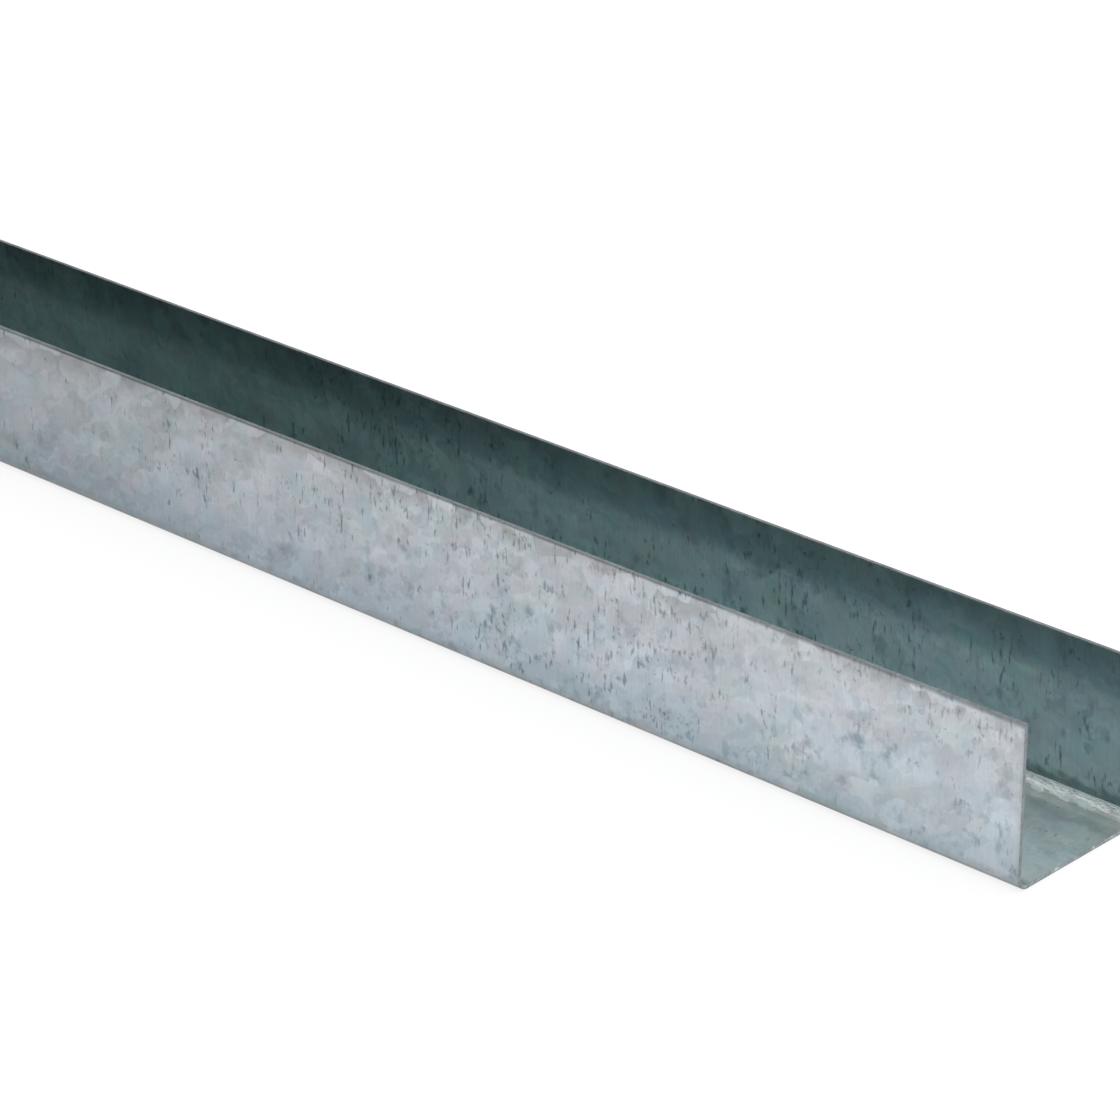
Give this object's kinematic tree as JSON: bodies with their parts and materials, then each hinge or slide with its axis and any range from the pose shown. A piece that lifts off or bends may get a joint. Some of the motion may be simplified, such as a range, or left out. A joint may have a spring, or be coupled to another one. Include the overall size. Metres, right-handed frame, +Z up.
{
  "type": "drywall track",
  "caption": "Straight U channel track bent from galvanised sheet steel, with a flat web, two upright flanges, round bends and square-cut ends.",
  "frame": {"origin": "middle of the underside of the web, halfway between the cut ends", "axes": "+X along the track, +Y across the web, +Z up along the flanges, away from the web"},
  "size_m": [3, 0.028, 0.027],
  "materials": {
    "zinc": "hot-dip galvanised sheet, dull and faintly mottled, with fine marks from the forming rolls"
  },
  "bodies": {
    "root": {"track": "zinc"}
  },
  "joints": []
}
